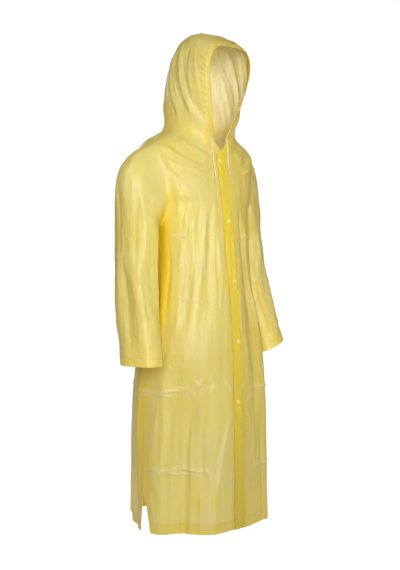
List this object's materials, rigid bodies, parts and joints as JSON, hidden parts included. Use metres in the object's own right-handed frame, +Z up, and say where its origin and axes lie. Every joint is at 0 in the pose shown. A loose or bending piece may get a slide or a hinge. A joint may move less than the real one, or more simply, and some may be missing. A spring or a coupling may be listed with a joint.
{
  "type": "hooded raincoat",
  "caption": "Long hooded raincoat of thin translucent plastic sheet, in its hollow worn shape, with long sleeves, a lapped snap front, a hood drawcord and side slits at the hem.",
  "frame": {"origin": "middle of the base of the neck, at the height of the neckline's lowest front point, where the coat hangs from its wearer's shoulders", "axes": "+Z up along the wearer's back, -Y the way the coat faces, +X to the wearer's left"},
  "size_m": [0.6218, 0.4179, 1.472],
  "materials": {
    "yellow_sheet": "frosted translucent film, softly creased",
    "doubled_sheet": "the same film in two welded layers, so a stronger yellow",
    "moulded_snap": "moulded, semi-gloss",
    "braided_cord": "round braided cord, matte"
  },
  "bodies": {
    "root": {"back": "yellow_sheet", "front_left": "yellow_sheet", "front_right": "yellow_sheet", "sleeve_left": "yellow_sheet", "sleeve_right": "yellow_sheet", "hood_left": "yellow_sheet", "hood_right": "yellow_sheet", "front_left_facing": "doubled_sheet", "front_right_facing": "doubled_sheet", "hood_casing": "doubled_sheet", "snap_1": "moulded_snap", "snap_2": "moulded_snap", "snap_3": "moulded_snap", "snap_4": "moulded_snap", "snap_5": "moulded_snap", "cord_left": "braided_cord", "cord_left_knot": "braided_cord", "cord_right": "braided_cord", "cord_right_knot": "braided_cord"}
  },
  "joints": []
}
